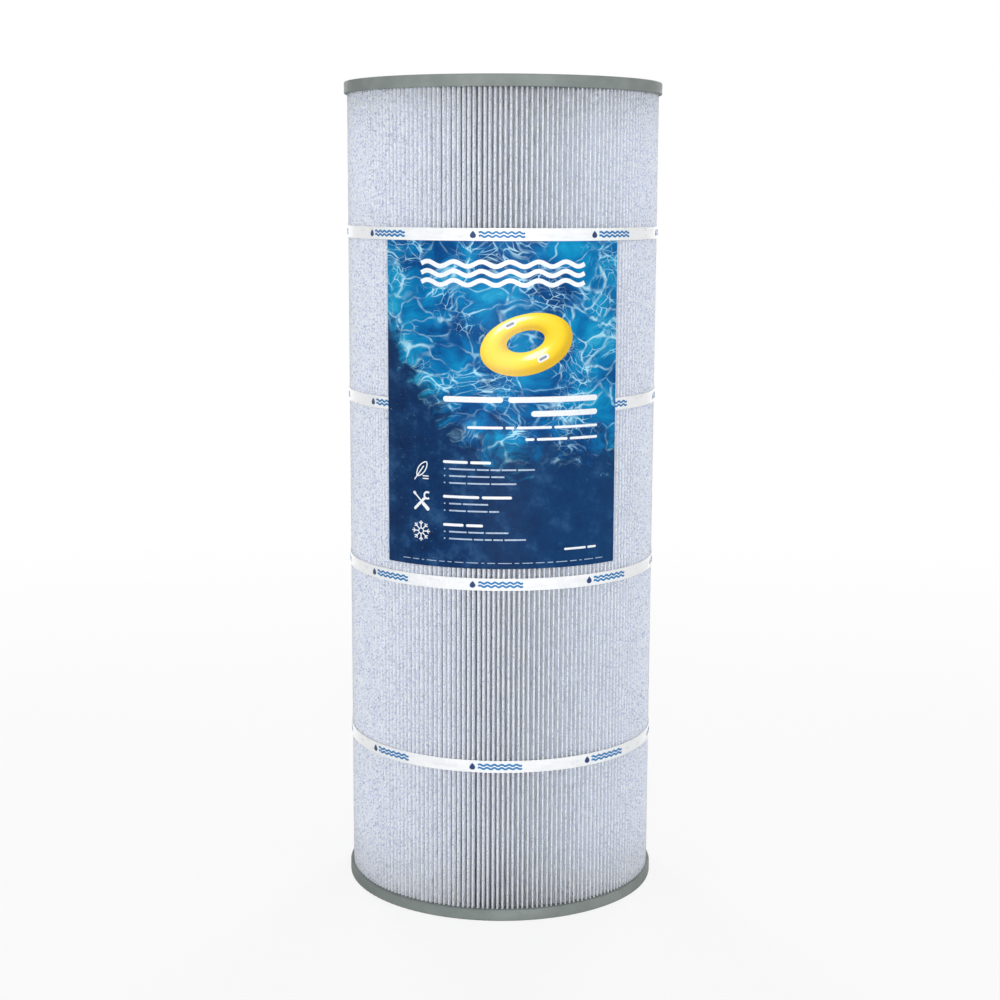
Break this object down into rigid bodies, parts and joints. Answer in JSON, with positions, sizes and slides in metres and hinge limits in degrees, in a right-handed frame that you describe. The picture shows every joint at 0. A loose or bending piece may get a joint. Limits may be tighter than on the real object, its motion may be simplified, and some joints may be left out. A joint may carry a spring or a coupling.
{
  "type": "filter cartridge",
  "caption": "Cylindrical pleated filter cartridge with open moulded end caps, a perforated inner core, film bands round the pleats and a curved printed card.",
  "frame": {"origin": "centre of the bottom end cap's outer face, on the cartridge's axis", "axes": "+Z along the axis towards the top end cap, -Y towards the printed card at the front"},
  "size_m": [0.227, 0.227, 0.584],
  "materials": {
    "end_cap_urethane": "satin cast urethane, grey green",
    "pleated_polyester": "matt spun-bonded polyester, white with a cool cast",
    "core_plastic": "off-white moulded ABS",
    "band_film": null,
    "printed_card": "coated card printed in blues",
    "seam_adhesive": "off-white hot-melt adhesive"
  },
  "bodies": {
    "cartridge": {"band_1": "band_film", "band_2": "band_film", "band_3": "band_film", "band_4": "band_film", "bottom_end_cap": "end_cap_urethane", "core_section_1": "core_plastic", "core_section_2": "core_plastic", "core_section_3": "core_plastic", "core_section_4": "core_plastic", "media_seam": "seam_adhesive", "pleated_media": "pleated_polyester", "top_end_cap": "end_cap_urethane"},
    "label": {"label_card": "printed_card"}
  },
  "joints": [
    {"name": "label_pull", "type": "slide", "parent": "cartridge", "child": "label", "axis": [0, 0, -1], "range_m": [0, 0.012]}
  ]
}
